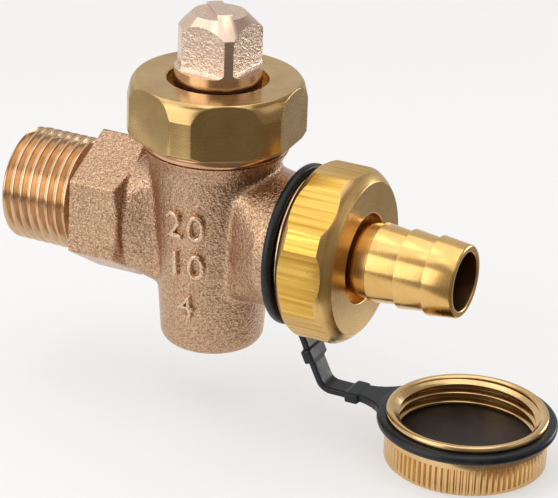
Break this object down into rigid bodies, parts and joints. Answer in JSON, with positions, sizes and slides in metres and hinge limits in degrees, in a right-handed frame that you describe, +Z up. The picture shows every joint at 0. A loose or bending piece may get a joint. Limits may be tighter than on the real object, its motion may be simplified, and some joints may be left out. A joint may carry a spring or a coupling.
{
  "type": "drain cock",
  "caption": "Cast drain cock with a square-headed taper plug, gland nut, male pipe inlet, barbed hose tail on a union nut, and a knurled screw cap held by a rubber strap.",
  "frame": {"origin": "centre of the shoulder that the inlet thread ends on, on the flow axis", "axes": "+X along the flow from inlet to outlet, +Z up along the plug, Y across"},
  "size_m": [0.1057, 0.032, 0.0748],
  "materials": {
    "gunmetal": "sand cast",
    "plug_bronze": "sand cast flats, turned corners",
    "gland_brass": "satin turned",
    "drawn_brass": "drawn bar",
    "turned_brass": "bright turned",
    "cap_brass": "turned and knurled",
    "rubber": "moulded",
    "seal_rubber": "cut sheet",
    "packing": "graphited yarn"
  },
  "bodies": {
    "body": {"valve_body": "gunmetal", "packing_ring_lower": "packing", "packing_ring_upper": "packing"},
    "plug": {"plug": "plug_bronze"},
    "gland_follower": {"gland_follower": "turned_brass"},
    "gland_nut": {"gland_nut": "gland_brass"},
    "hose_tail": {"hose_tail": "turned_brass", "hose_gasket": "rubber"},
    "hose_nut": {"hose_nut": "drawn_brass"},
    "strap": {"retaining_strap": "rubber"},
    "cap": {"screw_cap": "cap_brass", "cap_seal": "seal_rubber"}
  },
  "joints": [
    {"name": "plug_turn", "type": "hinge", "parent": "body", "child": "plug", "pos_m": [0.0236, 0, 0], "axis": [0, 0, 1], "continuous": true},
    {"name": "gland_lift", "type": "slide", "parent": "body", "child": "gland_follower", "axis": [0, 0, 1], "range_m": [0, 0.0045]},
    {"name": "gland_nut_turn", "type": "hinge", "parent": "gland_follower", "child": "gland_nut", "pos_m": [0.0236, 0, 0], "axis": [0, 0, 1], "range_deg": [0, 1080.05]},
    {"name": "hose_tail_pull", "type": "slide", "parent": "body", "child": "hose_tail", "axis": [1, 0, 0], "range_m": [0, 0.00453]},
    {"name": "hose_nut_turn", "type": "hinge", "parent": "hose_tail", "child": "hose_nut", "pos_m": [0, 0, 0], "axis": [1, 0, 0], "range_deg": [0, 900.05]},
    {"name": "strap_swivel", "type": "hinge", "parent": "body", "child": "strap", "pos_m": [0.041, 0, 0], "axis": [1, 0, 0], "continuous": true},
    {"name": "cap_spin", "type": "hinge", "parent": "strap", "child": "cap", "pos_m": [0.0747, 0, -0.02635], "axis": [0, 0, 1], "continuous": true}
  ],
  "couplings": [
    {"joint": "gland_nut_turn", "follows": "gland_lift", "rad_per_m": 4188.8},
    {"joint": "hose_nut_turn", "follows": "hose_tail_pull", "rad_per_m": 3463.7}
  ]
}
